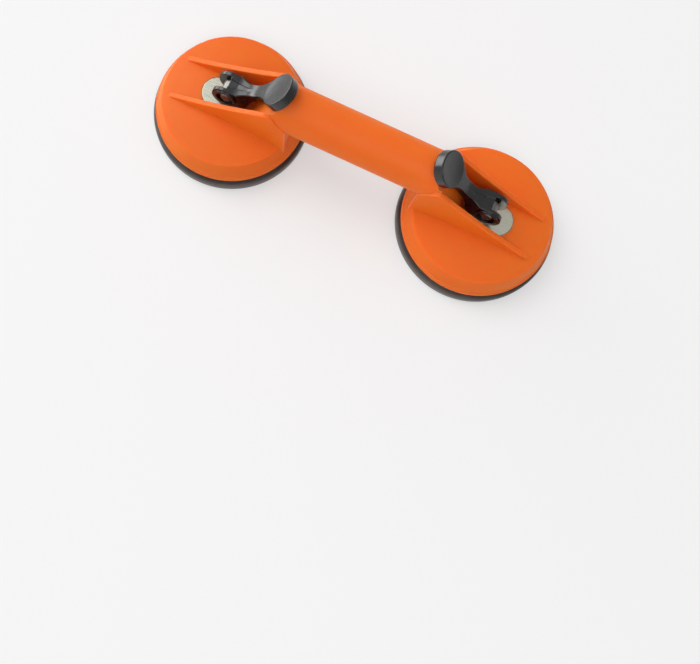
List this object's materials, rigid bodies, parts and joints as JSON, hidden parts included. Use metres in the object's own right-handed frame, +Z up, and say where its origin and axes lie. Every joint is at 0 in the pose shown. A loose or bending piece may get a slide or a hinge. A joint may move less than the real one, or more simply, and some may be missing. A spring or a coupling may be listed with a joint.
{
  "type": "suction lifter",
  "caption": "Suction lifter for floor tiles: rubber cups under moulded housings joined by a bar handle, with a folding cam lever over each cup",
  "frame": {"origin": "on the floor, midway between the two rubber cups' axes", "axes": "+X along the handle to the right cup, +Y across it, +Z up"},
  "size_m": [0.3178, 0.1178, 0.0796],
  "materials": {
    "orange_abs": "moulded ABS, semi-gloss",
    "black_rubber": "moulded natural rubber, satin",
    "plated_steel": "zinc plated",
    "rolled_steel": "bright rolled, bevelled edge",
    "black_nylon": "moulded nylon, glossy"
  },
  "bodies": {
    "housing": {"lifter_body": "orange_abs", "left_rubber_pad": "black_rubber", "right_rubber_pad": "black_rubber", "left_wear_plate": "rolled_steel", "right_wear_plate": "rolled_steel"},
    "left_stud": {"left_insert_plate": "plated_steel", "left_stud_strap": "plated_steel", "left_strap_rivets": "plated_steel", "left_pivot_pin": "plated_steel"},
    "right_stud": {"right_insert_plate": "plated_steel", "right_stud_strap": "plated_steel", "right_strap_rivets": "plated_steel", "right_pivot_pin": "plated_steel"},
    "left_cam_lever": {"left_lever": "black_nylon"},
    "right_cam_lever": {"right_lever": "black_nylon"}
  },
  "joints": [
    {"name": "left_stud_drop", "type": "slide", "parent": "housing", "child": "left_stud", "axis": [0, 0, 1], "range_m": [-0.003, 0], "deforming": ["left_rubber_pad"]},
    {"name": "right_stud_drop", "type": "slide", "parent": "housing", "child": "right_stud", "axis": [0, 0, 1], "range_m": [-0.003, 0], "deforming": ["right_rubber_pad"]},
    {"name": "left_lever_swing", "type": "hinge", "parent": "left_stud", "child": "left_cam_lever", "pos_m": [-0.1, 0, 0.0405], "axis": [0, -1, 0], "range_deg": [0, 105]},
    {"name": "right_lever_swing", "type": "hinge", "parent": "right_stud", "child": "right_cam_lever", "pos_m": [0.1, 0, 0.0405], "axis": [0, 1, 0], "range_deg": [0, 105]}
  ],
  "couplings": [
    {"joint": "left_stud_drop", "follows": "left_lever_swing", "m_per_rad": -0.001637},
    {"joint": "right_stud_drop", "follows": "right_lever_swing", "m_per_rad": -0.001637}
  ]
}
